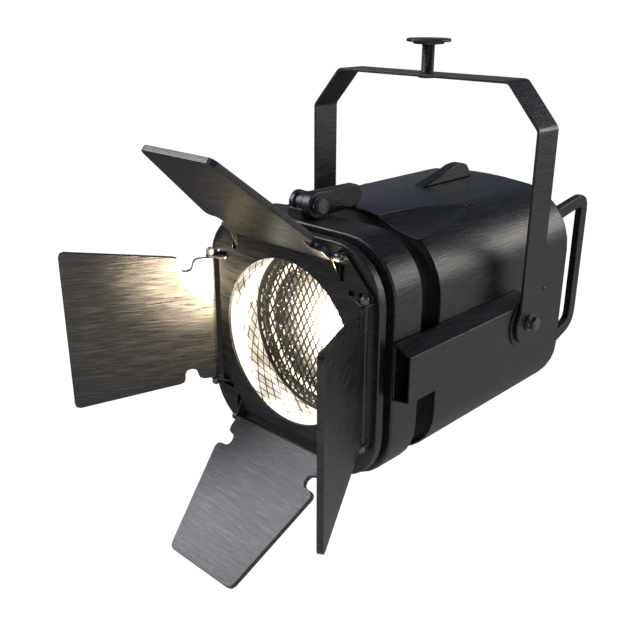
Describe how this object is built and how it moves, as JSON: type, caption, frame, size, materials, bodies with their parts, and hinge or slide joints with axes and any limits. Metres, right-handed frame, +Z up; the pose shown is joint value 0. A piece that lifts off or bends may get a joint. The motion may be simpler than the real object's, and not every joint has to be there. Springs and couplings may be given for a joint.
{
  "type": "fresnel spotlight",
  "caption": "Theatre spotlight with a stepped lens, hinged front section, rotating barn door with hinged leaves, tilting yoke and top stud.",
  "frame": {"origin": "centre of the stud flange's top face", "axes": "+Z up, the beam leaves along -Y, the tilt axis runs along X"},
  "size_m": [0.3486, 0.5248, 0.4679],
  "materials": {
    "black_steel": "semi-matte black enamel over brushed steel",
    "black_aluminium": "semi-matte black enamel over brushed sheet",
    "inner_black": "matte heat-proof black",
    "zinc_steel": "dark zinc plated",
    "black_rubber": "matte",
    "clear_glass": "clear pressed glass",
    "ceramic": "glazed ceramic",
    "mirror_aluminium": "polished"
  },
  "bodies": {
    "mount_stud": {"stud": "black_steel", "stud_retainer": "zinc_steel"},
    "yoke": {"yoke": "black_steel", "tilt_bolt_right": "zinc_steel", "tilt_bolt_left": "zinc_steel", "tilt_washer_right": "zinc_steel", "tilt_washer_left": "zinc_steel", "friction_disc_right": "black_rubber", "friction_disc_left": "black_rubber"},
    "housing": {"rear_housing": "black_aluminium", "rear_cover": "black_aluminium", "cover_screw_1": "zinc_steel", "cover_screw_2": "zinc_steel", "cover_screw_3": "zinc_steel", "cover_screw_4": "zinc_steel", "top_fin": "black_aluminium", "front_sleeve": "inner_black", "side_channel_right": "black_aluminium", "side_channel_left": "black_aluminium", "pivot_plate_right": "black_steel", "pivot_plate_left": "black_steel", "hinge_arm": "black_aluminium", "hinge_bolt": "zinc_steel", "rear_handle": "black_aluminium", "cable_gland": "black_rubber", "rail_bracket": "zinc_steel", "carriage_rail_right": "zinc_steel", "carriage_rail_left": "zinc_steel"},
    "carriage": {"carriage": "zinc_steel", "drive_nut": "zinc_steel", "lampholder": "ceramic", "lamp": "clear_glass", "reflector": "mirror_aluminium"},
    "focus_drive": {"focus_screw": "zinc_steel", "focus_knob": "black_rubber"},
    "lens_door": {"lens_door": "black_aluminium", "lens_tube": "mirror_aluminium", "lens": "clear_glass", "lens_ring": "zinc_steel", "mesh_guard": "zinc_steel", "door_neck": "inner_black", "accessory_frame": "black_aluminium", "door_knuckle": "black_aluminium"},
    "door_clamp": {"door_clamp": "zinc_steel"},
    "barn_door": {"barn_plate": "black_steel", "barn_ring": "mirror_aluminium", "leaf_screw_top_a": "zinc_steel", "leaf_screw_top_b": "zinc_steel", "leaf_screw_right_a": "zinc_steel", "leaf_screw_right_b": "zinc_steel", "leaf_screw_bottom_a": "zinc_steel", "leaf_screw_bottom_b": "zinc_steel", "leaf_screw_left_a": "zinc_steel", "leaf_screw_left_b": "zinc_steel"},
    "leaf_top": {"leaf_top": "black_aluminium"},
    "leaf_right": {"leaf_right": "black_aluminium"},
    "leaf_bottom": {"leaf_bottom": "black_aluminium"},
    "leaf_left": {"leaf_left": "black_aluminium"}
  },
  "joints": [
    {"name": "yoke_pan", "type": "hinge", "parent": "mount_stud", "child": "yoke", "pos_m": [0, 0, 0], "axis": [0, 0, 1], "continuous": true},
    {"name": "lamp_tilt", "type": "hinge", "parent": "yoke", "child": "housing", "pos_m": [0, 0, -0.2665], "axis": [1, 0, 0], "range_deg": [-45, 90]},
    {"name": "lamp_focus", "type": "slide", "parent": "housing", "child": "carriage", "axis": [0, 1, 0], "range_m": [-0.02, 0.06]},
    {"name": "focus_knob_turn", "type": "hinge", "parent": "housing", "child": "focus_drive", "pos_m": [0, 0.1, -0.3665], "axis": [0, 1, 0], "range_deg": [-360, 1080]},
    {"name": "lens_door_hinge", "type": "hinge", "parent": "housing", "child": "lens_door", "pos_m": [0, -0.168, -0.1405], "axis": [-1, 0, 0], "range_deg": [0, 70]},
    {"name": "door_clamp_turn", "type": "hinge", "parent": "housing", "child": "door_clamp", "pos_m": [-0.14, -0.166, -0.2665], "axis": [1, 0, 0], "range_deg": [0, 270]},
    {"name": "barn_door_turn", "type": "hinge", "parent": "lens_door", "child": "barn_door", "pos_m": [0, -0.2, -0.27], "axis": [0, 1, 0], "continuous": true},
    {"name": "leaf_top_hinge", "type": "hinge", "parent": "barn_door", "child": "leaf_top", "pos_m": [0, -0.2083, -0.168], "axis": [-1, 0, 0], "range_deg": [-80.4, 39.6]},
    {"name": "leaf_right_hinge", "type": "hinge", "parent": "barn_door", "child": "leaf_right", "pos_m": [0.102, -0.2083, -0.27], "axis": [0, 0, 1], "range_deg": [-47.5, 50.5]},
    {"name": "leaf_bottom_hinge", "type": "hinge", "parent": "barn_door", "child": "leaf_bottom", "pos_m": [0, -0.2083, -0.372], "axis": [1, 0, 0], "range_deg": [-81, 39]},
    {"name": "leaf_left_hinge", "type": "hinge", "parent": "barn_door", "child": "leaf_left", "pos_m": [-0.102, -0.2083, -0.27], "axis": [0, 0, -1], "range_deg": [-47.5, 50.5]}
  ],
  "couplings": [
    {"joint": "focus_knob_turn", "follows": "lamp_focus", "rad_per_m": 314.16}
  ]
}
